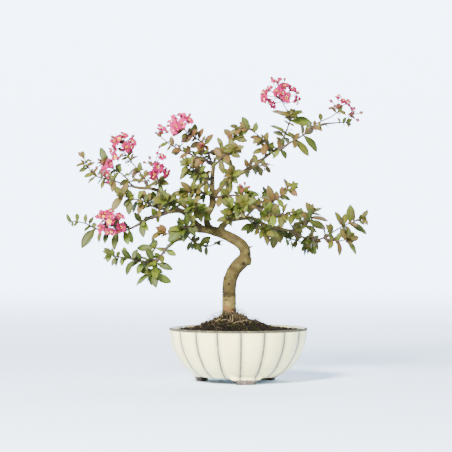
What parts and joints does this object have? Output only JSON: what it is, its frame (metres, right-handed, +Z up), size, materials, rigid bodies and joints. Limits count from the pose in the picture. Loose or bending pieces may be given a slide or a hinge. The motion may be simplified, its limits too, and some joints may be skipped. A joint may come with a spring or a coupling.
{
  "type": "crepe myrtle bonsai",
  "caption": "Flowering bonsai tree with an S-curved trunk, leafy shoots and pink flower heads, in a lobed cream-glazed round pot on bracket feet.",
  "frame": {"origin": "middle of the whole object's box, at the level the feet stand on", "axes": "+Z up, +X to the viewer's right, +Y away from the viewer"},
  "size_m": [0.3868, 0.1882, 0.399],
  "materials": {
    "glaze": "cream glaze, thin and grey-brown in the grooves and along the rim",
    "soil": "dark crumbly soil with bark bits, roots and moss",
    "drain": "plain plastic net",
    "bark": "smooth tan bark with darker scars",
    "leaf": "satin leaves on thin brown twigs",
    "petal": "crinkled matt petals",
    "bud": "smooth red-brown buds"
  },
  "bodies": {
    "root": {"back_centre": "leaf", "back_left": "leaf", "back_right": "leaf", "back_upper_right": "leaf", "bud_cluster": "bud", "centre_drop_twig": "leaf", "centre_left_twig": "leaf", "crimson_bud": "bud", "crimson_bud_twig": "leaf", "crossing_twig": "leaf", "drain_mesh": "drain", "far_left": "leaf", "far_right": "leaf", "far_upper_right": "leaf", "front_centre": "leaf", "front_left": "leaf", "front_right": "leaf", "front_right_twig": "leaf", "front_upper": "leaf", "head_back_left": "petal", "head_far_right": "petal", "head_inner_left": "petal", "head_left": "petal", "head_left_spray": "petal", "head_right": "petal", "head_top": "petal", "head_top_left": "petal", "head_upper_left": "petal", "inner_left_twig": "leaf", "inner_upright": "leaf", "left_flower_stalk": "leaf", "left_upper_twig": "leaf", "low_centre": "leaf", "low_left": "leaf", "low_left_bud_twig": "leaf", "pale_arch_twig": "leaf", "pot": "glaze", "right_front_twig": "leaf", "right_inner_twig": "leaf", "right_low_twig": "leaf", "right_rising_twig": "leaf", "right_upper_twig": "leaf", "soil": "soil", "top_fan_a": "leaf", "top_fan_b": "leaf", "top_fan_c": "leaf", "top_fan_d": "leaf", "top_right": "leaf", "trunk": "bark", "upper_left_a": "leaf", "upper_left_b": "leaf", "upper_left_c": "leaf"}
  },
  "joints": []
}
